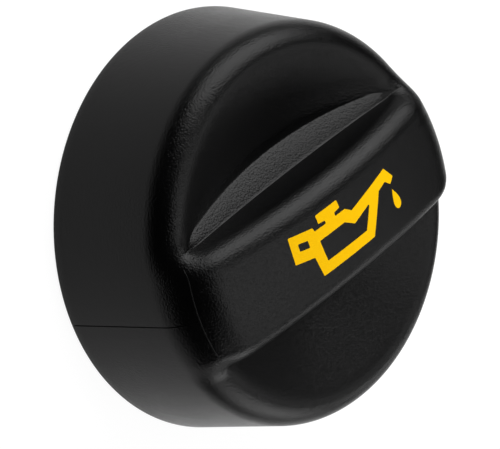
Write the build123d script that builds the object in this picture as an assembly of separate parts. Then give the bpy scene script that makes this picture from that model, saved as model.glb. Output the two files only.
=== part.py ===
from build123d import *
import math
import os

# Oil filler cap, in millimetres. The axis is Z, the grip bar lies along X and the skirt stands on Z = 0.

# Skirt and rim
base_radius = 31.0
skirt_draft = 6.6
rim_height = 20.7
rim_rounding = 4.5
rim_land = 3.6
foot_rounding = 0.5
skirt_wall = 2.3
top_wall = 2.8

# Grip bar: the part of a shallow dome that is left between the two scoops
crown_height = 27.2
dome_radius = 112.0
shoulder_rounding = 8.8
grip_waist = 15.6
grip_flare = 1.8
grip_draft = 4.0
grip_edge_rounding = 2.5
grip_setback = 0.1
grip_wall = 2.5

# Half-moon scoops beside the grip bar
tip_offset = 9.6
ridge_offset = 11.7
scoop_depth = 5.4
scoop_draft = 12.0
scoop_edge_bevel = 0.8
bevel_angle = 45.0

# Lens-shaped ledge between the grip bar and each scoop
ledge_sag = 2.0
ledge_slope = 22.0

# Plug that goes into the filler neck
plug_radius = 15.0
plug_wall = 2.6
nose_length = 4.0
nose_chamfer = 0.6
nose_relief = 0.4

# Bayonet lugs
lug_count = 2
lug_reach = 2.4
lug_height = 2.4
lug_arc = 40.0
lug_gap = 1.0

# Seal ring and its groove
seal_section = 3.0
groove_depth = 1.2
groove_clearance = 0.2
groove_gap = 0.2
seal_clearance = 0.05

# Stiffening ribs on the inside of the skirt, clear of the filler neck
neck_space = 6.0
rib_count = 6
rib_thickness = 1.8
rib_depth = 6.0

# Worked-out places
rim_radius = base_radius - rim_height * math.tan(math.radians(skirt_draft))
scoop_radius = rim_radius - rim_land
tip_reach = math.sqrt(scoop_radius**2 - tip_offset**2)
grip_foot = rim_height - 2 * rim_rounding
floor_level = rim_height - scoop_depth
floor_slope = (scoop_depth - scoop_edge_bevel) / (scoop_radius - ridge_offset)
cone_level = floor_level - ridge_offset * floor_slope
ceiling_level = floor_level - top_wall
groove_width = seal_section + 2 * groove_clearance
groove_level = ceiling_level - groove_gap - groove_width
groove_radius = plug_radius - groove_depth
lug_level = groove_level - lug_gap - lug_height
nose_level = lug_level - nose_length
neck_radius = plug_radius + neck_space
above = crown_height + shoulder_rounding


def skirt_radius(level):
    return base_radius - level * math.tan(math.radians(skirt_draft))


def turned(profile):
    return revolve(Plane.XZ * profile, Axis.Z)


def standing_cylinder(radius, height):
    return Cylinder(radius, height, align=(Align.CENTER, Align.CENTER, Align.MIN))


def rim_body():
    # Tapered skirt with a rounded rim and a level top
    outline = Polyline(
        (0, 0),
        (base_radius, 0),
        (rim_radius, rim_height),
        (0, rim_height),
        close=True,
    )
    profile = make_face(outline)
    rim_corner = profile.vertices().sort_by(Axis.X)[-2]
    profile = fillet(rim_corner, rim_rounding)
    foot_corner = profile.vertices().sort_by(Axis.X)[-1]
    return turned(fillet(foot_corner, foot_rounding))


def dome_body(inset):
    # The skirt, set back a hair, carried up under a shallow dome with a wide shoulder
    # The inset gives the dome's inside
    crown = crown_height - inset
    radius = dome_radius - inset
    centre = crown - radius
    slope = math.tan(math.radians(skirt_draft))
    foot = base_radius - grip_setback - inset / math.cos(math.radians(skirt_draft))
    # The skirt's line x = foot - slope z meets the dome's circle x^2 + (z - centre)^2 = radius^2
    a = 1 + slope**2
    b = -2 * foot * slope - 2 * centre
    c = foot**2 + centre**2 - radius**2
    edge_level = (-b + math.sqrt(b**2 - 4 * a * c)) / (2 * a)
    edge = (foot - slope * edge_level, edge_level)
    half_turn = math.asin(edge[0] / radius) / 2
    middle = (radius * math.sin(half_turn), centre + radius * math.cos(half_turn))
    outline = Line((0, 0), (foot, 0)) + Line((foot, 0), edge)
    outline += ThreePointArc(edge, middle, (0, crown)) + Line((0, crown), (0, 0))
    profile = make_face(outline)
    corner = profile.vertices().sort_by_distance(Vector(edge[0], edge[1], 0))[0]
    return turned(fillet(corner, shoulder_rounding - inset))


def arc_offset(u, middle, end):
    # Offset across the grip of the arc with the offset middle at its waist and end at the scoop's tips
    return middle + (end - middle) * (u / tip_reach) ** 2


def grip_prism(inset):
    # Waisted bar, wider toward its ends. Its drafted sides have the grip's width at the rim's height.
    reach = base_radius + rim_rounding
    waist = grip_waist / 2 - inset + (rim_height - grip_foot) * math.tan(math.radians(grip_draft))
    side = arc_offset(reach, waist, waist + grip_flare)
    upper = ThreePointArc((reach, side), (0, waist), (-reach, side))
    lower = ThreePointArc((-reach, -side), (0, -waist), (reach, -side))
    outline = upper + Line(upper @ 1, lower @ 0) + lower + Line(lower @ 1, upper @ 0)
    return extrude(Pos(0, 0, grip_foot) * make_face(outline), above - grip_foot, taper=grip_draft)


def grip_bar():
    bar = dome_body(0) & grip_prism(0)
    inner_side = grip_waist / 2 - grip_edge_rounding
    side_edges = bar.edges().filter_by(lambda e: abs(e.center().Y) > inner_side)
    side_edges = side_edges.filter_by_position(Axis.Z, grip_foot + foot_rounding, above)
    return fillet(side_edges, grip_edge_rounding)


def half_moon(radius, depth, taper):
    # Drawn down from the rim's height: the rim's inner circle on one side, the bowed ridge on the other
    reach = math.sqrt(radius**2 - tip_offset**2)
    rim = ThreePointArc((reach, tip_offset), (0, radius), (-reach, tip_offset))
    ridge = ThreePointArc((-reach, tip_offset), (0, ridge_offset), (reach, tip_offset))
    return extrude(Pos(0, 0, rim_height) * make_face(rim + ridge), -depth, taper=taper)


def scoop():
    # The floor is a cone that falls from under the bevelled mouth to the ridge beside the grip
    lip = rim_height - scoop_edge_bevel
    outline = Polyline((0, cone_level), (scoop_radius, lip), (scoop_radius, above), (0, above), close=True)
    pocket = half_moon(scoop_radius + scoop_edge_bevel, scoop_depth + rim_rounding, scoop_draft)
    mouth = half_moon(scoop_radius + scoop_edge_bevel, scoop_edge_bevel, bevel_angle)
    return (pocket & turned(make_face(outline))) + mouth


def ledge():
    # Lens between the grip and the ridge, cut by a sagging arc that is drawn out sideways and downward
    arc = ThreePointArc((-tip_reach, 0), (0, -ledge_sag), (tip_reach, 0))
    outline = arc + Polyline((tip_reach, 0), (tip_reach, above), (-tip_reach, above), (-tip_reach, 0))
    across = Vector(0, math.cos(math.radians(ledge_slope)), -math.sin(math.radians(ledge_slope)))
    start = Vector(0, tip_offset, rim_height) - across * tip_offset
    section = Pos(start) * (Plane.XZ * make_face(outline))
    above_ledge = extrude(section, 3 * tip_offset, dir=across)
    # The lens reaches a little past the ridge, as far as the scoop's drafted wall leans out
    lean = scoop_depth * math.tan(math.radians(scoop_draft))
    ridge = ThreePointArc((-tip_reach, tip_offset), (0, ridge_offset + lean), (tip_reach, tip_offset))
    lens = make_face(ridge + Polyline(ridge @ 1, (0, 0), ridge @ 0))
    return above_ledge & extrude(lens, above)


def on_both_sides(solid):
    return [solid, Rot(0, 0, 180) * solid]


def outer_form():
    body = rim_body()
    for cut in on_both_sides(ledge()) + on_both_sides(scoop()):
        body -= cut
    return body + grip_bar()


def hollow():
    # Space inside the skirt, up to the ceiling under the scoops, and the core of the grip
    foot = base_radius - skirt_wall / math.cos(math.radians(skirt_draft))
    ceiling_radius = foot - ceiling_level * math.tan(math.radians(skirt_draft))
    outline = Polyline((0, 0), (foot, 0), (ceiling_radius, ceiling_level), (0, ceiling_level), close=True)
    profile = make_face(outline)
    corner = profile.vertices().sort_by_distance(Vector(ceiling_radius, ceiling_level, 0))[0]
    core = dome_body(grip_wall) & grip_prism(grip_wall)
    return turned(fillet(corner, skirt_wall)) + core


def plug():
    # Tube with a slimmer chamfered nose, carried up through the grip's core, and a groove for the seal
    nose = standing_cylinder(plug_radius - nose_relief, above)
    nose = chamfer(nose.edges().sort_by(Axis.Z)[0], nose_chamfer)
    tube = nose + Pos(0, 0, nose_length) * standing_cylinder(plug_radius, above)
    tube -= standing_cylinder(plug_radius - plug_wall, above + nose_length)
    groove = standing_cylinder(plug_radius + seal_section, groove_width)
    groove -= standing_cylinder(groove_radius, groove_width)
    return Pos(0, 0, nose_level) * tube - Pos(0, 0, groove_level) * groove


def lugs():
    # Ring segments that stand out from the plug between its nose and the seal
    sector = Cylinder(
        plug_radius + lug_reach,
        lug_height,
        arc_size=lug_arc,
        align=(Align.NONE, Align.NONE, Align.MIN),
    )
    segment = sector - standing_cylinder(plug_radius - plug_wall / 2, lug_height)
    turns = [90 - lug_arc / 2 + 360 * k / lug_count for k in range(lug_count)]
    return [Pos(0, 0, lug_level) * Rot(0, 0, turn) * segment for turn in turns]


def ribs():
    # Gussets between the ceiling and the skirt, outside the neck's space and clear of the grip's core
    outer = skirt_radius(ceiling_level) - skirt_wall / 2
    foot = skirt_radius(ceiling_level - rib_depth) - skirt_wall / 2
    outline = Polyline(
        (neck_radius, ceiling_level + top_wall / 2),
        (neck_radius, ceiling_level),
        (foot, ceiling_level - rib_depth),
        (outer, ceiling_level + top_wall / 2),
        close=True,
    )
    web = extrude(Plane.XZ * make_face(outline), rib_thickness / 2, both=True)
    turns = [180 / rib_count + 360 * k / rib_count for k in range(rib_count)]
    return [Rot(0, 0, turn) * web for turn in turns]


def cap_body():
    outer = outer_form()
    body = outer - hollow()
    body += plug() & outer
    for piece in lugs() + ribs():
        body += piece
    return body


def seal_ring():
    middle = groove_radius + seal_clearance + seal_section / 2
    level = groove_level + groove_width / 2
    return turned(Pos(middle, level) * Circle(seal_section / 2))


os.makedirs("parts", exist_ok=True)
export_step(cap_body(), "parts/cap_body.step")
export_step(seal_ring(), "parts/seal_ring.step")
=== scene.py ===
import bmesh
import bpy
import math
import numpy as np
from mathutils import Matrix, Vector


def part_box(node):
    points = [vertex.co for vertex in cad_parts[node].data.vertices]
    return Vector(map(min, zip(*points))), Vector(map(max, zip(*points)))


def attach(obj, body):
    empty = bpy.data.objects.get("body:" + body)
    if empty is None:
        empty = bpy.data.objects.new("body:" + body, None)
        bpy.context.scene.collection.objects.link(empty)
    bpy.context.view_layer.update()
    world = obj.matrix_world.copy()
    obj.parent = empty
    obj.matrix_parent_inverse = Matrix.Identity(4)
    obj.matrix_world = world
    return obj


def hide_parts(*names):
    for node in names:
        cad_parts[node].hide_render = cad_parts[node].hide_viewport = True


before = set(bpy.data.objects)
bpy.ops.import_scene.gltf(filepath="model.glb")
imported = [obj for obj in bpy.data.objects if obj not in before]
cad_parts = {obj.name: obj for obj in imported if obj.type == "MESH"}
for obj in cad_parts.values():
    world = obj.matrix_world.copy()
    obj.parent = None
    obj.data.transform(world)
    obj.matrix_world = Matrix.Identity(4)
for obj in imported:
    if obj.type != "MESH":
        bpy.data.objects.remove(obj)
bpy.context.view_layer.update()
print("frame loaded, nodes:", sorted(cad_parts))

mm = 0.001  # every size below is in millimetres and every angle in degrees


def sine(degrees):
    return math.sin(math.radians(degrees))


def cosine(degrees):
    return math.cos(math.radians(degrees))


def tangent(degrees):
    return math.tan(math.radians(degrees))


# Distance forms: below zero inside the material, zero on its face

square = 0.0  # cosine between two faces that are taken as square to each other


def roundedCorner(a, b, lean, radius):
    # Both faces bound the material and an arc of the radius joins them
    # Lean is the cosine between the faces' normals
    p = (a + radius - (b + radius) * lean) / (1 - lean**2)
    q = (b + radius - (a + radius) * lean) / (1 - lean**2)
    arc = np.sqrt(np.maximum(p**2 + q**2 + 2 * p * q * lean, 0)) - radius
    return np.where((p > 0) & (q > 0), arc, np.maximum(a, b))


def roundedHollow(a, b, lean, radius):
    # Either face bounds the material, and an arc fills the inner corner between them
    return -roundedCorner(-a, -b, lean, radius)


def smoothed(share):
    # Soft change from 0 to 1
    share = np.clip(share, 0, 1)
    return share * share * (3 - 2 * share)


def softLimit(value, limit, softness):
    # The lesser of value and limit, with the bend between them rounded off
    return limit - softness * np.logaddexp(0, (limit - value) / softness)


solveForm = {
    "low": -3.0,  # span of levels that holds the whole cap
    "high": 30.0,
    "halvings": 40,
}


def halved(inside, low, high):
    # Where inside(value) changes from true to false between low and high, by halving the span
    for halving in range(solveForm["halvings"]):
        middle = (low + high) / 2
        within = inside(middle)
        low = np.where(within, middle, low)
        high = np.where(within, high, middle)
    return (low + high) / 2


def heightOf(form, x, y):
    # Level over each plan point where the form's distance is zero
    low = np.full(x.shape, solveForm["low"])
    high = np.full(x.shape, solveForm["high"])
    return halved(lambda z: form(x, y, z) < 0, low, high)


def polar(r, turn, z):
    # Points at a radius, a turn round the cap's axis and a level
    return np.stack(np.broadcast_arrays(r * np.cos(turn), r * np.sin(turn), z), axis=-1)


# Cap: the grip is what two half-moon scoops leave of a shallow dome

inkRoom = 0.04  # between the dome and the solid's top
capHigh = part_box("cap_body")[1]
capForm = {
    "baseRadius": 30.985,
    "skirtDraft": 6.6,
    "rimHeight": 20.7,
    "rimRounding": 4.5,
    "rimLand": 3.6,
    "crown": capHigh.z / mm - inkRoom,
    "domeRadius": 112.0,
    "shoulderRounding": 8.8,
    "shoulderLean": 0.334,  # a lean is the cosine between the normals of two faces
    "gripHalf": 8.6,
    "gripFlare": 0.1,
    "gripDraft": (8.0, 4.0),  # a pair has the value of the +Y side and the value of the -Y side
    "gripEdge": (3.4, 2.5),
    "gripLean": 0.1,
    "gripFoot": 0.01,
    "tipOffset": 9.5,
    "ridgeOffset": 11.65,
    "scoopDepth": 5.4,
    "lipDrop": 0.1,
    "lipRounding": 9.0,
    "ledgeSag": 1.0,
    "ledgeStart": 24.0,
    "ledgeEnd": 31.0,
    "ledgeLeast": 0.1,
    "ledgePast": 1.5,  # the ledge's curve goes on to this share of its width
    "ridgeDraft": 12.0,
    "ridgeLean": 0.68,
    "ridgeEdge": 0.5,
    "ridgeFoot": 0.01,
    "endInside": (2.6, 2.5),  # width of the soft change at the bar's ends, inside its side's face
    "endOutside": (2.8, 2.0),  # and outside it
    "endStart": (22.9, 24.4),  # radius where the soft change sets in
    "endFull": (27.0, 27.0),  # and from where it is full
}
rimRadius = capForm["baseRadius"] - capForm["rimHeight"] * tangent(capForm["skirtDraft"])
scoopRadius = rimRadius - capForm["rimLand"]
tipReach = math.sqrt(scoopRadius**2 - capForm["tipOffset"]**2)
ridgeBow = capForm["ridgeOffset"] - capForm["tipOffset"]
domeCentre = capForm["crown"] - capForm["domeRadius"]
floorSlope = (capForm["scoopDepth"] - capForm["lipDrop"]) / (scoopRadius - capForm["ridgeOffset"])


def skirtFace(r, z, inset):
    # Cone of the skirt, drawn in by the inset
    slope = tangent(capForm["skirtDraft"])
    return (r - capForm["baseRadius"] + z * slope) * cosine(capForm["skirtDraft"]) + inset


def gripBlock(r, z, inset):
    # Shallow dome with a wide shoulder down to the skirt
    dome = np.hypot(r, z - domeCentre) - capForm["domeRadius"] + inset
    shoulder = capForm["shoulderRounding"] - inset
    return roundedCorner(skirtFace(r, z, inset), dome, capForm["shoulderLean"], shoulder)


def bySide(name, y):
    # The grip's value on the +Y side or on the -Y side
    return np.where(y > 0, *capForm[name])


def gripHalfAt(x):
    # Half the bar's width at the rim's height, narrowest at its middle
    return capForm["gripHalf"] + capForm["gripFlare"] * (x / tipReach)**2


def gripSide(x, y, z, inset):
    # Drafted sides of the bar
    draft = np.radians(bySide("gripDraft", y))
    lean = (z - capForm["rimHeight"]) * np.tan(draft)
    return (np.abs(y) - gripHalfAt(x) + lean) * np.cos(draft) + inset


def gripForm(x, y, z, inset, edge):
    # The dome between the drafted sides, with rounded edges
    block = gripBlock(np.hypot(x, y), z, inset)
    return roundedCorner(block, gripSide(x, y, z, inset), capForm["gripLean"], edge)


def bowAt(x):
    # 1 at the bar's middle, 0 at the scoops' tips
    return 1 - (x / tipReach)**2


def ridgeAt(x):
    # Offset of the ridge between ledge and scoop, bowed out at its middle
    return capForm["tipOffset"] + ridgeBow * bowAt(x)


def floorDepth(r):
    # The scoop's floor under the rim's height, a cone that falls inward
    return capForm["lipDrop"] + (scoopRadius - r) * floorSlope


def ledgeFace(x, across, z):
    # The ledge sags along the grip, and its fall steepens evenly from the grip's foot out to the ridge
    foot = gripHalfAt(x)
    wide = np.maximum(ridgeAt(x) - foot, capForm["ledgeLeast"])
    out = np.clip((across - foot) / wide, 0, capForm["ledgePast"])
    first = tangent(capForm["ledgeStart"])
    more = tangent(capForm["ledgeEnd"]) - first
    top = capForm["rimHeight"] - capForm["ledgeSag"] * bowAt(x)
    level = top - wide * (first * out + more * out**2 / 2)
    return (z - level) / np.hypot(1, first + more * out)


def rimForm(x, y, z):
    # Rounded rim, hollowed by the scoop down to its floor and to the ridge block under the ledge
    r = np.hypot(x, y)
    across = np.abs(y)
    deep = capForm["rimHeight"] - z
    rim = roundedCorner(skirtFace(r, z, 0), -deep, sine(capForm["skirtDraft"]), capForm["rimRounding"])
    level = 1 / math.hypot(1, floorSlope)
    floorFace = (floorDepth(r) - deep) * level
    draft = capForm["ridgeDraft"]
    ridgeWall = (across - ridgeAt(x) - deep * tangent(draft)) * cosine(draft)
    ledge = ledgeFace(x, across, z)
    ridgeBlock = roundedCorner(ridgeWall, ledge, capForm["ridgeLean"], capForm["ridgeEdge"])
    bowl = roundedHollow(floorFace, ridgeBlock, square, capForm["ridgeFoot"])
    return roundedCorner(rim, bowl, level, capForm["lipRounding"])


def capSkin(x, y, z):
    # Rim and grip grown together: a sharp foot beside the scoops, and a soft change past the scoops' tips
    r = np.hypot(x, y)
    rim = rimForm(x, y, z)
    grip = gripForm(x, y, z, 0, bySide("gripEdge", y))
    joined = roundedHollow(rim, grip, square, capForm["gripFoot"])
    outside = bySide("endOutside", y)
    share = smoothed((outside - gripSide(x, y, z, 0)) / (outside + bySide("endInside", y)))
    soft = rim + (gripBlock(r, z, 0) - rim) * share
    start = bySide("endStart", y)
    past = smoothed((r - start) / (bySide("endFull", y) - start))
    return joined + (soft - joined) * past


# Meshes

def newObject(name, data):
    made = bpy.data.objects.new(name, data)
    bpy.context.scene.collection.objects.link(made)
    return made


def meshOfFaces(name, points, quads, triangles, material):
    # Smooth-shaded mesh over points in millimetres
    mesh = bpy.data.meshes.new(name)
    mesh.vertices.add(len(points))
    mesh.vertices.foreach_set("co", (points * mm).astype(np.float32).ravel())
    corners = np.concatenate([quads.ravel(), triangles.ravel()]).astype(np.int32)
    sizes = np.concatenate([np.full(len(quads), 4), np.full(len(triangles), 3)]).astype(np.int32)
    starts = np.concatenate([[0], np.cumsum(sizes)[:-1]]).astype(np.int32)
    mesh.loops.add(len(corners))
    mesh.loops.foreach_set("vertex_index", corners)
    mesh.polygons.add(len(sizes))
    mesh.polygons.foreach_set("loop_start", starts)
    mesh.polygons.foreach_set("loop_total", sizes)
    mesh.polygons.foreach_set("use_smooth", np.ones(len(sizes), bool))
    mesh.update(calc_edges=True)
    mesh.validate()
    mesh.materials.append(material)
    return newObject(name, mesh)


def meshOfRows(name, rows, material, ring=False):
    # Rows of closed loops in millimetres, joined loop to loop
    # In a ring the last loop joins the first one, otherwise a fan of triangles closes each end
    loops, around = rows.shape[:2]
    points = rows.reshape(-1, 3)
    first = np.arange(loops if ring else loops - 1)[:, None] * around
    second = (first + around) % (loops * around)
    here = np.arange(around)[None, :]
    after = (here + 1) % around
    quads = np.stack([first + here, first + after, second + after, second + here], axis=-1).reshape(-1, 4)
    fans = np.zeros((0, 3), int)
    if not ring:
        ends = np.stack([rows[0].mean(axis=0), rows[-1].mean(axis=0)])
        last = (loops - 1) * around
        start = np.stack([after[0], here[0], np.full(around, len(points))], axis=-1)
        close = np.stack([last + here[0], last + after[0], np.full(around, len(points) + 1)], axis=-1)
        fans = np.concatenate([start, close])
        points = np.concatenate([points, ends])
    corners = np.concatenate([quads[:, [0, 1, 2]], quads[:, [0, 2, 3]], fans])
    a, b, c = points[corners[:, 0]], points[corners[:, 1]], points[corners[:, 2]]
    if np.einsum("ij,ij->", a, np.cross(b, c)) < 0:  # the enclosed volume tells which way the faces look
        quads = quads[:, ::-1]
        fans = fans[:, ::-1]
    return meshOfFaces(name, points, quads, fans, material)


# Materials

def newMaterial(name, finish):
    material = bpy.data.materials.new(name)
    material.use_nodes = True
    shader = material.node_tree.nodes["Principled BSDF"]
    shader.inputs["Base Color"].default_value = finish["colour"]
    shader.inputs["Specular IOR Level"].default_value = finish["shine"]
    return material, shader


def mathOf(tree, operation, *values):
    # Output of a math node whose inputs are sockets or plain numbers
    node = tree.nodes.new("ShaderNodeMath")
    node.operation = operation
    for entry, value in zip(node.inputs, values):
        if isinstance(value, bpy.types.NodeSocket):
            tree.links.new(value, entry)
        else:
            entry.default_value = value
    return node.outputs[0]


def rangeOf(tree, value, spanIn, spanOut, change="LINEAR"):
    # Output of a map range node that carries one span over to the other
    node = tree.nodes.new("ShaderNodeMapRange")
    node.interpolation_type = change
    for entry, limit in zip(("From Min", "From Max", "To Min", "To Max"), (*spanIn, *spanOut)):
        node.inputs[entry].default_value = limit
    tree.links.new(value, node.inputs["Value"])
    return node.outputs["Result"]


grainForm = {
    "grainDetail": 2.0,
    "cloudDetail": 4.0,
    "cloudSpan": (0.3, 0.7),  # the part of the noise's range that is used
}


def buildGrainGroup():
    # Fine spark-eroded grain: a height, and a mask of slow change over the surface
    group = bpy.data.node_groups.new("fineGrain", "ShaderNodeTree")
    sockets = group.interface
    sockets.new_socket("Grain Size", in_out="INPUT", socket_type="NodeSocketFloat")
    sockets.new_socket("Cloud Size", in_out="INPUT", socket_type="NodeSocketFloat")
    sockets.new_socket("Height", in_out="OUTPUT", socket_type="NodeSocketFloat")
    sockets.new_socket("Cloud", in_out="OUTPUT", socket_type="NodeSocketFloat")
    nodes, links = group.nodes, group.links
    entry = nodes.new("NodeGroupInput")
    leave = nodes.new("NodeGroupOutput")
    place = nodes.new("ShaderNodeTexCoord")
    for size, output, detail in (
        ("Grain Size", "Height", grainForm["grainDetail"]),
        ("Cloud Size", "Cloud", grainForm["cloudDetail"]),
    ):
        noise = nodes.new("ShaderNodeTexNoise")
        noise.inputs["Detail"].default_value = detail
        links.new(place.outputs["Object"], noise.inputs["Vector"])
        links.new(mathOf(group, "DIVIDE", 1.0, entry.outputs[size]), noise.inputs["Scale"])
        links.new(noise.outputs["Fac"], leave.inputs[output])
    return group


grainGroup = buildGrainGroup()


def grainedMaterial(name, finish):
    # The grain's height bumps the surface, and its slow mask changes the roughness
    material, shader = newMaterial(name, finish)
    tree = material.node_tree
    grain = tree.nodes.new("ShaderNodeGroup")
    grain.node_tree = grainGroup
    grain.inputs["Grain Size"].default_value = finish["grain"] * mm
    grain.inputs["Cloud Size"].default_value = finish["cloud"] * mm
    bump = tree.nodes.new("ShaderNodeBump")
    bump.inputs["Strength"].default_value = finish["strength"]
    bump.inputs["Distance"].default_value = finish["depth"] * mm
    tree.links.new(grain.outputs["Height"], bump.inputs["Height"])
    tree.links.new(bump.outputs["Normal"], shader.inputs["Normal"])
    rough = rangeOf(tree, grain.outputs["Cloud"], grainForm["cloudSpan"], finish["rough"])
    tree.links.new(rough, shader.inputs["Roughness"])
    return material


def plainMaterial(name, finish):
    material, shader = newMaterial(name, finish)
    shader.inputs["Roughness"].default_value = finish["rough"]
    return material


capFinish = {
    "colour": (0.0011, 0.0011, 0.0012, 1),
    "shine": 0.18,
    "grain": 0.26,
    "cloud": 6.0,
    "depth": 0.078,
    "strength": 1.0,
    "rough": (0.21, 0.27),
}
# Near-black, matte, almost glossless plastic for the skirt seam: painted shade that stands in for the shadow
# in the seam's groove
seamShadeFinish = {"colour": (0.001, 0.001, 0.001, 1), "shine": 0.02, "rough": 0.6}
sealFinish = {
    "colour": (0.014, 0.014, 0.015, 1),
    "shine": 0.5,
    "grain": 0.1,
    "cloud": 3.0,
    "depth": 0.01,
    "strength": 0.3,
    "rough": (0.55, 0.65),
}
inkFinish = {
    "colour": (1.0, 0.565, 0.0, 1),
    "shine": 0.04,
    "grain": 0.16,
    "cloud": 4.0,
    "depth": 0.01,
    "strength": 0.25,
    "rough": (0.45, 0.55),
}
capPlastic = grainedMaterial("cap_plastic", capFinish)
seamShadePlastic = plainMaterial("seam_painted_shade", seamShadeFinish)
sealRubber = grainedMaterial("seal_rubber", sealFinish)
signInk = grainedMaterial("sign_ink", inkFinish)
print("materials made")

# Cap shell: the outer skin over the plan, round the foot, and the hollow's skin inside

shellForm = {
    "columns": 440,
    "turnSamples": 7201,
    "tipAngle": 23.0,
    "tipSpread": 9.0,
    "tipCrowding": 2.5,
    "centre": 0.05,  # radius of the first and the last row
    "ridgeTop": (0.28, -0.22),  # past the ridge's line, at its middle and at its tips
    "lipSpan": (1.9, 1.8),  # inside and outside the scoop's radius
    "skirtStart": 0.45,  # outside the rim's radius
    "barEnd": 26.3,  # radius that holds the grip's rows together at the bar's ends
    "barEndStep": 0.11,
    "leastStep": 0.02,
    "limitSoftness": (1.5, 1.2, 0.2, 0.2, 0.2, 0.2, 0.2),
    "outerCounts": (34, 18, 10, 14, 14, 16, 14, 24, 14),
    "outerCrowding": ("far", "far", "even", "even", "even", "both", "even", "far", "even"),
    "sharpKeys": (3, 5),  # foot of the grip's side and foot of the ridge
    "footRounding": 0.5,
    "footSteps": 7,
    "skirtWall": 2.3,
    "ceiling": 12.5,
    "gripWall": 2.5,
    "coreEdge": 1.0,
    "coreFoot": 0.2,
    "hollowStart": 0.6,  # level of the first row up the skirt's inside
    "hollowBend": 0.85,  # share of the ceiling's height where the wall starts to bend over
    "coreMouth": 0.25,  # how far outside the core its mouth's rows start
    "coreEnds": (24.7, 24.2, 23.0),  # radii that close the core's mouth, side and edge at the bar's ends
    "hollowCounts": (8, 8, 5, 8, 6, 8),
    "hollowCrowding": ("even", "near", "even", "even", "even", "even"),
}
skirtFoot = capForm["baseRadius"] - shellForm["footRounding"] * tangent(capForm["skirtDraft"])
hollowFoot = capForm["baseRadius"] - shellForm["skirtWall"] / cosine(capForm["skirtDraft"])


def hollowForm(x, y, z):
    # Space under the cap: inside the skirt up to a level ceiling, and the core of the grip above it
    wall = skirtFace(np.hypot(x, y), z, shellForm["skirtWall"])
    level = z - shellForm["ceiling"]
    room = roundedCorner(wall, level, sine(capForm["skirtDraft"]), shellForm["skirtWall"])
    core = gripForm(x, y, z, shellForm["gripWall"], shellForm["coreEdge"])
    return roundedHollow(room, core, square, shellForm["coreFoot"])


def crowdedTurns():
    # Angles all round, crowded where the scoops' tips meet the grip
    turn = np.linspace(0, 2 * math.pi, shellForm["turnSamples"])
    fromAxis = np.degrees(np.abs(np.arcsin(np.sin(turn))))
    nearTip = (fromAxis - shellForm["tipAngle"]) / shellForm["tipSpread"]
    weight = 1 + shellForm["tipCrowding"] * np.exp(-nearTip**2)
    total = np.concatenate([[0], np.cumsum((weight[1:] + weight[:-1]) / 2)])
    share = np.arange(shellForm["columns"]) / shellForm["columns"]
    return np.interp(share * total[-1], total, turn)


def bowReach(offset, rise, turn):
    # Distance along each turned ray to the bowed line y = offset + rise * (x / tipReach)^2
    farOff = 99.0  # for a ray that never meets the line
    tiny = 1e-9  # keeps the division clear of zero
    bend = rise * (np.cos(turn) / tipReach)**2
    rest = np.sin(turn)**2 - 4 * bend * offset
    reach = 2 * offset / (np.abs(np.sin(turn)) + np.sqrt(np.maximum(rest, 0)) + tiny)
    return np.where(rest > 0, reach, farOff)


def ridgeReach(turn):
    # Distance along each turned ray to the line where the ridge's drafted wall meets the scoop's floor
    def insideRidge(reach):
        wall = ridgeAt(reach * np.cos(turn)) + floorDepth(reach) * tangent(capForm["ridgeDraft"])
        return np.abs(reach * np.sin(turn)) < wall

    near = np.minimum(bowReach(capForm["ridgeOffset"], -ridgeBow, turn), scoopRadius)
    return halved(insideRidge, near, np.full(turn.shape, scoopRadius))


def spacedRows(keys, counts, crowding):
    # Radii from key to key, each span with its count of rows, even or crowded to one end or to both
    rows = []
    for near, far, count, crowded in zip(keys[:-1], keys[1:], counts, crowding):
        t = np.arange(count)[:, None] / count
        if crowded == "far":
            t = np.sin(t * math.pi / 2)
        if crowded == "near":
            t = 1 - np.cos(t * math.pi / 2)
        if crowded == "both":
            t = (1 - np.cos(t * math.pi)) / 2
        rows.append(near + (far - near) * t)
    return np.concatenate(rows)


def skinRows(form, radius, turn):
    # Rows of points on the form's skin
    x, y = radius * np.cos(turn), radius * np.sin(turn)
    return np.stack([x, y, heightOf(form, x, y)], axis=-1)


def sideLean(turn):
    # How far the bar's side leans in per height, on the side that each ray crosses
    return np.tan(np.radians(bySide("gripDraft", np.sin(turn))))


def outerRows(turn):
    # From the axis over the grip, down its side, over ledge, scoop and rim to the skirt's foot
    whole = np.ones(turn.shape)
    flare = capForm["gripFlare"]
    sideTop = capForm["gripHalf"] - (capForm["crown"] - capForm["rimHeight"]) * sideLean(turn)
    drop = capForm["ledgeSag"] * sideLean(turn)
    edge = bySide("gripEdge", np.sin(turn))
    pastMiddle, pastTips = shellForm["ridgeTop"]
    ridgeTop = capForm["ridgeOffset"] + pastMiddle
    lipInside, lipOutside = shellForm["lipSpan"]
    keys = [
        bowReach(sideTop - edge, flare, turn),  # start of the grip's edge rounding
        bowReach(sideTop, flare, turn),  # top of its side
        bowReach(capForm["gripHalf"] + drop, flare - drop, turn),  # foot of its side
        bowReach(ridgeTop, pastTips - pastMiddle - ridgeBow, turn),  # top of the ridge
        ridgeReach(turn),  # foot of the ridge
        whole * (scoopRadius - lipInside),  # start of the lip's rounding
        whole * (scoopRadius + lipOutside),  # end of the lip's rounding
    ]
    keys = np.maximum.accumulate(np.array(keys), axis=0)
    steps = np.arange(len(keys))[:, None]
    softness = np.array(shellForm["limitSoftness"])[:, None]
    keys = softLimit(keys, shellForm["barEnd"] + shellForm["barEndStep"] * steps, softness)
    keys = np.maximum(keys, keys[0] + shellForm["leastStep"] * steps)
    ends = [whole * (rimRadius + shellForm["skirtStart"]), whole * skirtFoot]
    keys = [whole * shellForm["centre"], *keys, *ends]
    radius = spacedRows(keys, shellForm["outerCounts"], shellForm["outerCrowding"])
    return skinRows(capSkin, radius, turn)


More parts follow.
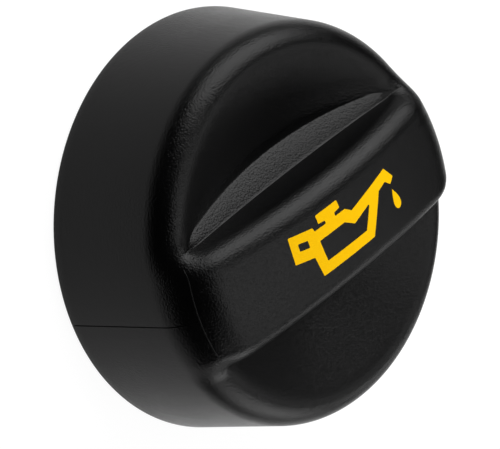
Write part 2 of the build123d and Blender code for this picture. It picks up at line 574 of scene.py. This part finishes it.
def footRows(turn):
    # An arc under the skirt, the flat that the cap stands on and an arc up into the hollow
    size = shellForm["footRounding"]
    arc = np.linspace(0, math.pi / 2, shellForm["footSteps"])[:, None]
    outward = skirtFoot - size + size * np.cos(arc)
    inward = hollowFoot + size - (1 + tangent(capForm["skirtDraft"])) * size * np.sin(arc)
    level = size - size * np.concatenate([np.sin(arc), np.cos(arc)])
    return polar(np.concatenate([outward, inward]), turn, level)


def hollowRows(turn):
    # Up the skirt's inside, over the ceiling and into the grip's core
    whole = np.ones(turn.shape)
    flare = capForm["gripFlare"]
    slope = tangent(capForm["skirtDraft"])
    climb = shellForm["ceiling"] * slope
    core = capForm["gripHalf"] - shellForm["gripWall"]
    coreTop = core - (capForm["crown"] - capForm["rimHeight"]) * sideLean(turn)
    mouthEnd, sideEnd, edgeEnd = shellForm["coreEnds"]
    keys = [
        whole * (hollowFoot - slope * shellForm["hollowStart"]),
        whole * (hollowFoot - climb * shellForm["hollowBend"]),
        whole * (hollowFoot - climb - shellForm["skirtWall"]),  # end of the bend into the ceiling
        np.minimum(bowReach(core + shellForm["coreMouth"], flare, turn), mouthEnd),
        np.minimum(bowReach(coreTop, flare, turn), sideEnd),
        np.minimum(bowReach(coreTop - shellForm["coreEdge"], flare, turn), edgeEnd),
        whole * shellForm["centre"],
    ]
    keys = np.minimum.accumulate(np.array(keys), axis=0)
    radius = spacedRows(keys, shellForm["hollowCounts"], shellForm["hollowCrowding"])
    return skinRows(hollowForm, radius, turn)


def sharpRows(piece, around, rows):
    # Keeps the faces on the two sides of these rows from shading into each other
    mesh = piece.data
    ends = np.zeros(len(mesh.edges) * 2, np.int32)
    mesh.edges.foreach_get("vertices", ends)
    row = ends.reshape(-1, 2) // around
    mesh.edges.foreach_set("use_edge_sharp", (row[:, 0] == row[:, 1]) & np.isin(row[:, 0], rows))


shellTurns = crowdedTurns()
shellRows = np.concatenate([outerRows(shellTurns), footRows(shellTurns), hollowRows(shellTurns)])
capShell = meshOfRows("cap_shell", shellRows, capPlastic)
creases = [sum(shellForm["outerCounts"][:key]) for key in shellForm["sharpKeys"]]
sharpRows(capShell, shellForm["columns"], creases)
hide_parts("cap_body")
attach(capShell, "root")
print("cap shell made, faces:", len(capShell.data.polygons))

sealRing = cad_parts["seal_ring"]
sealRing.data.materials.clear()
sealRing.data.materials.append(sealRubber)


def onCap(piece):
    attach(piece, "root")


def unit(vectors):
    # Vectors brought to the length 1
    return vectors / np.linalg.norm(vectors, axis=-1, keepdims=True)


def roundedOutline(corners, radii, steps):
    # Closed outline with an arc at each corner
    # The arc's points swing evenly from the touching point on one side to the one on the other
    corners = np.array(corners, float)
    radii = np.broadcast_to(np.asarray(radii, float), len(corners))[:, None]
    before = unit(np.roll(corners, 1, axis=0) - corners)
    after = unit(np.roll(corners, -1, axis=0) - corners)
    half = np.arccos(np.clip((before * after).sum(axis=1, keepdims=True), -1, 1)) / 2
    centre = corners + unit(before + after) * radii / np.sin(half)
    start = corners + before * radii / np.tan(half) - centre
    stop = corners + after * radii / np.tan(half) - centre
    swing = math.pi - 2 * half[:, None]
    t = np.linspace(0, 1, steps)[None, :, None]
    arc = (np.sin((1 - t) * swing) * start[:, None] + np.sin(t * swing) * stop[:, None]) / np.sin(swing)
    return (centre[:, None] + arc).reshape(-1, 2)


def crowdedToEnds(half, count):
    # Places from minus half to half, closer together toward both ends
    return np.sin(np.linspace(-math.pi / 2, math.pi / 2, count)) * half


def endShrink(distance, rounding):
    # How far a section draws in near an end, so that the end's edge is an arc of the rounding
    left = np.clip(rounding - distance, 0, rounding)
    return rounding - np.sqrt(rounding**2 - left**2)


# Plug: a tube whose outline is turned round the axis, its top following the hollow's ceiling

plugForm = {
    "radius": 15.0,
    "noseRadius": 14.6,
    "boreRadius": 12.4,
    "foot": 1.5,
    "noseTop": 5.5,
    "chamfer": 0.6,
    "grooveLow": 8.9,
    "grooveHigh": 12.3,
    "grooveRadius": 13.8,
    "top": 14.0,
    "rounding": 0.18,
    "upperRounding": 0.05,
    "arcSteps": 5,
    "sunk": 0.8,  # into the ceiling
    "columns": 360,
}


def plugRows():
    outer, nose, bore = plugForm["radius"], plugForm["noseRadius"], plugForm["boreRadius"]
    foot, chamfer, top = plugForm["foot"], plugForm["chamfer"], plugForm["top"]
    lower = [
        (bore, foot),
        (nose - chamfer, foot),
        (nose, foot + chamfer),
        (nose, plugForm["noseTop"]),
        (outer, plugForm["noseTop"]),
        (outer, plugForm["grooveLow"]),
        (plugForm["grooveRadius"], plugForm["grooveLow"]),
        (plugForm["grooveRadius"], plugForm["grooveHigh"]),
    ]
    upper = [(outer, plugForm["grooveHigh"]), (outer, top), (bore, top)]
    radii = [plugForm["rounding"]] * len(lower) + [plugForm["upperRounding"]] * len(upper)
    outline = roundedOutline(lower + upper, radii, plugForm["arcSteps"])
    turn = np.linspace(0, 2 * math.pi, plugForm["columns"], endpoint=False)
    middle = (outer + bore) / 2
    ceiling = heightOf(hollowForm, middle * np.cos(turn), middle * np.sin(turn)) + plugForm["sunk"]
    r, z = outline[:, :1], outline[:, 1:]
    z = np.where(z > (plugForm["grooveHigh"] + top) / 2, ceiling, z)
    return polar(r, turn, z)


onCap(meshOfRows("plug_tube", plugRows(), capPlastic, ring=True))

# Bayonet lugs: a rounded section led along an arc, drawn in at both ends

lugForm = {
    "inner": 13.6,
    "outer": 17.4,
    "low": 5.5,
    "high": 7.9,
    "arc": 40.0,
    "rounding": 0.35,
    "arcSteps": 7,
    "sections": 61,
    "turns": (90.0, 270.0),
}


def lugRows(turned):
    inner, outer, low, high = (lugForm[key] for key in ("inner", "outer", "low", "high"))
    corners = [(inner, low), (outer, low), (outer, high), (inner, high)]
    section = roundedOutline(corners, lugForm["rounding"], lugForm["arcSteps"])
    middle = np.array([(inner + outer) / 2, (low + high) / 2])
    half = math.radians(lugForm["arc"]) / 2
    turn = crowdedToEnds(half, lugForm["sections"])
    draw = endShrink((half - np.abs(turn)) * outer, lugForm["rounding"])[:, None]
    r = middle[0] + (section[:, 0] - middle[0]) * (1 - draw / (outer - middle[0]))
    z = middle[1] + (section[:, 1] - middle[1]) * (1 - draw / (high - middle[1]))
    return polar(r, turn[:, None] + math.radians(turned), z)


for number, turned in enumerate(lugForm["turns"], 1):
    onCap(meshOfRows(f"bayonet_lug_{number}", lugRows(turned), capPlastic))

# Stiffening ribs: a gusset's outline carried through its thickness, its free edge drawn back at both faces

ribForm = {
    "count": 6,
    "inner": 21.0,
    "top": 13.9,
    "foot": 6.5,
    "wallMiddle": 1.15,
    "thickness": 1.8,
    "rounding": 0.35,
    "edgePoints": 9,
    "sections": 33,
}


def ribRows(turned):
    outside = capForm["baseRadius"] - ribForm["wallMiddle"]
    slope = tangent(capForm["skirtDraft"])
    start = np.array([ribForm["inner"], shellForm["ceiling"]])
    stop = np.array([outside - ribForm["foot"] * slope, ribForm["foot"]])
    edge = start + (stop - start) * np.linspace(0, 1, ribForm["edgePoints"])[:, None]
    rest = np.array([[outside - ribForm["top"] * slope, ribForm["top"]], [ribForm["inner"], ribForm["top"]]])
    outline = np.concatenate([edge, rest])
    back = unit(np.array([start[1] - stop[1], stop[0] - start[0]]))
    half = ribForm["thickness"] / 2
    through = crowdedToEnds(half, ribForm["sections"])
    draw = endShrink(half - np.abs(through), ribForm["rounding"])[:, None, None]
    loops = outline + draw * back * (np.arange(len(outline)) < len(edge))[:, None]
    r, side = loops[..., 0], through[:, None]
    x = r * cosine(turned) - side * sine(turned)
    y = r * sine(turned) + side * cosine(turned)
    return np.stack([x, y, loops[..., 1]], axis=-1)


for number in range(ribForm["count"]):
    turned = 360 * (number + 0.5) / ribForm["count"]
    onCap(meshOfRows(f"stiffening_rib_{number + 1}", ribRows(turned), capPlastic))
print("underside made: plug, lugs and ribs")

# Oil-can sign: a filled flat outline, cut so that it can bend, given an ink's depth and lifted onto the dome

signForm = {
    "can": [
        (10.59, 3.34), (11.91, 1.43), (10.86, 0.69), (9.91, 1.61), (8.11, 1.11), (4.37, -4.17),
        (-6.78, -4.01), (-7.28, -0.75), (-10.81, 0.06), (-10.48, 4.09), (-5.94, 3.19), (-5.75, 2.55),
        (-3.39, 2.51), (-3.4, 3.0), (-4.69, 3.17), (-4.71, 4.46), (-0.18, 4.42), (-0.1, 3.2),
        (-1.38, 3.07), (-1.34, 2.52), (0.72, 2.47), (1.85, 1.6),
    ],
    "canHole": [(-5.49, 0.89), (-0.15, 0.83), (1.58, -0.37), (5.59, 0.67), (3.31, -2.54), (-5.28, -2.4)],
    "handleHole": [(-9.25, 2.5), (-7.44, 2.07), (-7.44, 0.94), (-9.3, 1.37)],
    "corner": 0.16,
    "cornerSteps": 4,
    "dropTip": (10.83, -0.09),
    "dropFoot": (11.2, -3.3),
    "dropWidth": 1.05,
    "dropTaper": 1.3,
    "dropPoints": 48,
    "lift": 0.035,
    "depth": 0.03,
    "merge": 0.002,
    "cut": 1.5,
    "cutReach": {(1, 0, 0): 12.0, (0, 1, 0): 4.5},  # to both sides along each axis
}


def dropOutline():
    # Teardrop: the cosine runs from tip to foot
    # The width is the sine times a power of the half angle's sine
    tip, foot = np.array(signForm["dropTip"]), np.array(signForm["dropFoot"])
    t = np.linspace(0, 2 * math.pi, signForm["dropPoints"], endpoint=False)[:, None]
    along = (tip - foot) / 2
    across = unit(np.array([-along[1], along[0]]))
    wide = signForm["dropWidth"] * np.sin(t) * np.sin(t / 2)**signForm["dropTaper"]
    return (tip + foot) / 2 + along * np.cos(t) + across * wide


def filledOutlines(outlines):
    # Flat mesh inside the outlines, an outline within another being a hole
    curve = bpy.data.curves.new("sign_outline", "CURVE")
    curve.dimensions = "2D"
    curve.fill_mode = "BOTH"
    for outline in outlines:
        spline = curve.splines.new("POLY")
        spline.points.add(len(outline) - 1)
        flat = np.concatenate([outline * mm, np.zeros((len(outline), 1)), np.ones((len(outline), 1))], axis=1)
        spline.points.foreach_set("co", flat.ravel())
        spline.use_cyclic_u = True
    holder = newObject("sign_outline", curve)
    filled = holder.evaluated_get(bpy.context.evaluated_depsgraph_get())
    mesh = bpy.data.meshes.new_from_object(filled)
    bpy.data.objects.remove(holder)
    return mesh


def giveDepth(mesh):
    # Cuts the flat mesh both ways so that it can bend, and draws it down by the ink's depth
    ink = bmesh.new()
    ink.from_mesh(mesh)
    bmesh.ops.remove_doubles(ink, verts=ink.verts[:], dist=signForm["merge"] * mm)
    for axis, reach in signForm["cutReach"].items():
        for step in np.arange(-reach, reach, signForm["cut"]):
            everything = ink.verts[:] + ink.edges[:] + ink.faces[:]
            bmesh.ops.bisect_plane(ink, geom=everything, plane_co=Vector(axis) * step * mm, plane_no=axis)
    under = bmesh.ops.extrude_face_region(ink, geom=ink.faces[:], use_keep_orig=True)
    lowered = [part for part in under["geom"] if isinstance(part, bmesh.types.BMVert)]
    bmesh.ops.translate(ink, verts=lowered, vec=(0, 0, -signForm["depth"] * mm))
    bmesh.ops.recalc_face_normals(ink, faces=ink.faces[:])
    ink.to_mesh(mesh)
    ink.free()


def liftOntoDome(mesh):
    # Raises each point by the height of the dome's sphere over its place, and a little more
    points = np.zeros(len(mesh.vertices) * 3)
    mesh.vertices.foreach_get("co", points)
    points = points.reshape(-1, 3) / mm
    dome = domeCentre + np.sqrt(capForm["domeRadius"]**2 - points[:, 0]**2 - points[:, 1]**2)
    points[:, 2] += dome + signForm["lift"]
    mesh.vertices.foreach_set("co", (points * mm).ravel())
    mesh.update()


def buildSign():
    drawn = [signForm[key] for key in ("can", "canHole", "handleHole")]
    outlines = [roundedOutline(points, signForm["corner"], signForm["cornerSteps"]) for points in drawn]
    mesh = filledOutlines([*outlines, dropOutline()])
    giveDepth(mesh)
    liftOntoDome(mesh)
    mesh.materials.clear()
    mesh.materials.append(signInk)
    sign = newObject("oil_can_sign", mesh)
    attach(sign, "root")


buildSign()
print("sign made")

# Mould seams: fine beads led over the skin

seamForm = {
    "height": 0.07,
    "beadPoints": 10,
    "slopeStep": 0.02,
    "pathPoints": 40,
    "skirtSunk": 0.05,
    "skirtWidth": 0.28,
    "skirtTurn": 179.4,
    "skirtLow": 0.8,
    "skirtHigh": 16.5,
    "shoulderSunk": 0.0,
    "shoulderWidth": 0.16,
    "shoulderRadius": 26.55,
    "shoulderTurns": (163.0, 201.0),
}


def beadRows(x, y, width, sunk):
    # Ellipse of the bead's width and height, partly sunk, carried along a plan path and square to the skin
    near = seamForm["slopeStep"]
    z = heightOf(capSkin, x, y)
    slopeX = (heightOf(capSkin, x + near, y) - z) / near
    slopeY = (heightOf(capSkin, x, y + near) - z) / near
    outward = unit(np.stack([-slopeX, -slopeY, np.ones(len(z))], axis=-1))
    path = np.stack([x, y, z], axis=-1)
    side = unit(np.cross(np.gradient(path, axis=0), outward))
    t = np.linspace(0, 2 * math.pi, seamForm["beadPoints"], endpoint=False)[None, :, None]
    wide = side[:, None] * np.cos(t) * width / 2
    return path[:, None] + wide + outward[:, None] * (np.sin(t) * seamForm["height"] - sunk)


def skirtSeamRows():
    # Up the skirt at one turn and over the shoulder to the other seam
    count = seamForm["pathPoints"]
    level = np.linspace(seamForm["skirtLow"], seamForm["skirtHigh"], count)
    skirt = capForm["baseRadius"] - level * tangent(capForm["skirtDraft"])
    shoulder = np.linspace(skirt[-1], seamForm["shoulderRadius"], count)[1:]
    radius = np.concatenate([skirt, shoulder])
    x, y = radius * cosine(seamForm["skirtTurn"]), radius * sine(seamForm["skirtTurn"])
    return beadRows(x, y, seamForm["skirtWidth"], seamForm["skirtSunk"])


def shoulderSeamRows():
    # Round the shoulder of the bar's end at one radius
    turn = np.radians(np.linspace(*seamForm["shoulderTurns"], 2 * seamForm["pathPoints"]))
    x, y = seamForm["shoulderRadius"] * np.cos(turn), seamForm["shoulderRadius"] * np.sin(turn)
    return beadRows(x, y, seamForm["shoulderWidth"], seamForm["shoulderSunk"])


# The skirt seam's bead wears the painted-shade material, a dark line in place of the groove's shadow
onCap(meshOfRows("skirt_seam", skirtSeamRows(), seamShadePlastic))
onCap(meshOfRows("shoulder_seam", shoulderSeamRows(), capPlastic))
print("seams made")

# Stage: floor, sky, camera and lamps

floorForm = {
    "half": 4000.0,
    "level": -0.02,  # a hair under the cap's foot
    "glow": 0.92,
    "mirror": 0.76,  # share of the glow that the cap's gloss sees
    "sheet": (60.0, 115.0),  # the mirrored white sheet fades out between these distances
    "finish": {"colour": (0.15, 0.15, 0.15, 1), "shine": 0.0, "rough": 0.9},
}


def floorMaterial():
    # White where the camera looks at it, a white sheet round the cap where gloss mirrors it, else plain grey
    material = plainMaterial("studio_floor", floorForm["finish"])
    tree = material.node_tree
    seen = tree.nodes.new("ShaderNodeLightPath").outputs
    place = tree.nodes.new("ShaderNodeTexCoord")
    away = tree.nodes.new("ShaderNodeVectorMath")
    away.operation = "LENGTH"
    tree.links.new(place.outputs["Object"], away.inputs[0])
    span = [distance * mm for distance in floorForm["sheet"]]
    fade = rangeOf(tree, away.outputs["Value"], span, (floorForm["mirror"], 0.0), "SMOOTHSTEP")
    mirrored = mathOf(tree, "MAXIMUM", seen["Is Glossy Ray"], seen["Is Transmission Ray"])
    sheet = mathOf(tree, "MULTIPLY", mirrored, fade)
    white = mathOf(tree, "MAXIMUM", seen["Is Camera Ray"], sheet)
    shader = tree.nodes["Principled BSDF"]
    shader.inputs["Emission Color"].default_value = (1, 1, 1, 1)
    tree.links.new(mathOf(tree, "MULTIPLY", white, floorForm["glow"]), shader.inputs["Emission Strength"])
    return material


def buildFloor():
    corners = np.array([(-1, -1), (1, -1), (1, 1), (-1, 1)]) * floorForm["half"]
    points = np.column_stack([corners, np.full(len(corners), floorForm["level"])])
    noTriangles = np.zeros((0, 3), int)
    floor = meshOfFaces("studio_floor", points, np.arange(len(corners))[None], noTriangles, floorMaterial())


lampForm = {
    "sky": 0.02,
    "distance": 700.0,
    "softboxes": {  # direction from the cap, width and height, brightness of the face
        "softbox_side": ((0.5, 0.7, 0.51), (760, 560), 4.35),
        "softbox_back": ((0.66, -0.32, 0.67), (440, 500), 0.7),
        "softbox_edge": ((0.6, -0.768, 0.225), (240, 330), 1.4),
        "softbox_over": ((0.2, -0.41, 0.89), (440, 300), 1.95),
        "softbox_top": ((0.05, 0.1, 0.99), (300, 300), 2.4),
        "softbox_low": ((-0.05, -0.93, 0.37), (520, 480), 3.1),
    },
}


def buildSoftbox(name, towards, size, level):
    # Lamp panel that faces the cap
    place = Vector(towards).normalized() * lampForm["distance"]
    width, height = size
    light = bpy.data.lights.new(name, "AREA")
    light.shape = "RECTANGLE"
    light.size = width * mm
    light.size_y = height * mm
    light.energy = level * math.pi * width * height * mm**2
    lamp = newObject(name, light)
    lamp.location = place * mm
    lamp.rotation_euler = (-place).to_track_quat("-Z", "Y").to_euler()


def buildWorld():
    world = bpy.data.worlds.new("studio")
    bpy.context.scene.world = world
    world.use_nodes = True
    sky = world.node_tree.nodes["Background"]
    sky.inputs["Color"].default_value = (1, 1, 1, 1)
    sky.inputs["Strength"].default_value = lampForm["sky"]


cameraForm = {
    "tilt": 44.148,
    "roll": 4.236,
    "barTurn": 33.2,
    "distance": 400.0,
    "across": 5.296,
    "up": -1.08,
    "lens": 195.98,
    "sensor": 36.0,
}


def cameraAxes():
    # Right, up and back of the camera: tilted from the cap's axis, rolled, and turned to the bar's frame
    tilt, roll = cameraForm["tilt"], cameraForm["roll"]
    back = Vector((-sine(tilt), 0, cosine(tilt)))
    level = Vector((cosine(tilt), 0, sine(tilt)))
    side = Vector((0, 1, 0))
    right = level * cosine(roll) + side * sine(roll)
    up = side * cosine(roll) - level * sine(roll)
    turn = Matrix.Rotation(-math.radians(cameraForm["barTurn"]), 3, "Z")
    return turn @ right, turn @ up, turn @ back


def buildCamera():
    right, up, back = cameraAxes()
    data = bpy.data.cameras.new("photo_camera")
    data.lens = cameraForm["lens"]
    data.sensor_fit = "HORIZONTAL"
    data.sensor_width = cameraForm["sensor"]
    camera = newObject("photo_camera", data)
    place = back * cameraForm["distance"] + right * cameraForm["across"] + up * cameraForm["up"]
    turned = Matrix((right, up, back)).transposed().to_4x4()
    camera.matrix_world = Matrix.Translation(place * mm) @ turned
    bpy.context.scene.camera = camera


buildFloor()
buildWorld()
buildCamera()
for name, settings in lampForm["softboxes"].items():
    buildSoftbox(name, *settings)
bpy.context.scene.view_settings.view_transform = "Standard"
print("stage made")
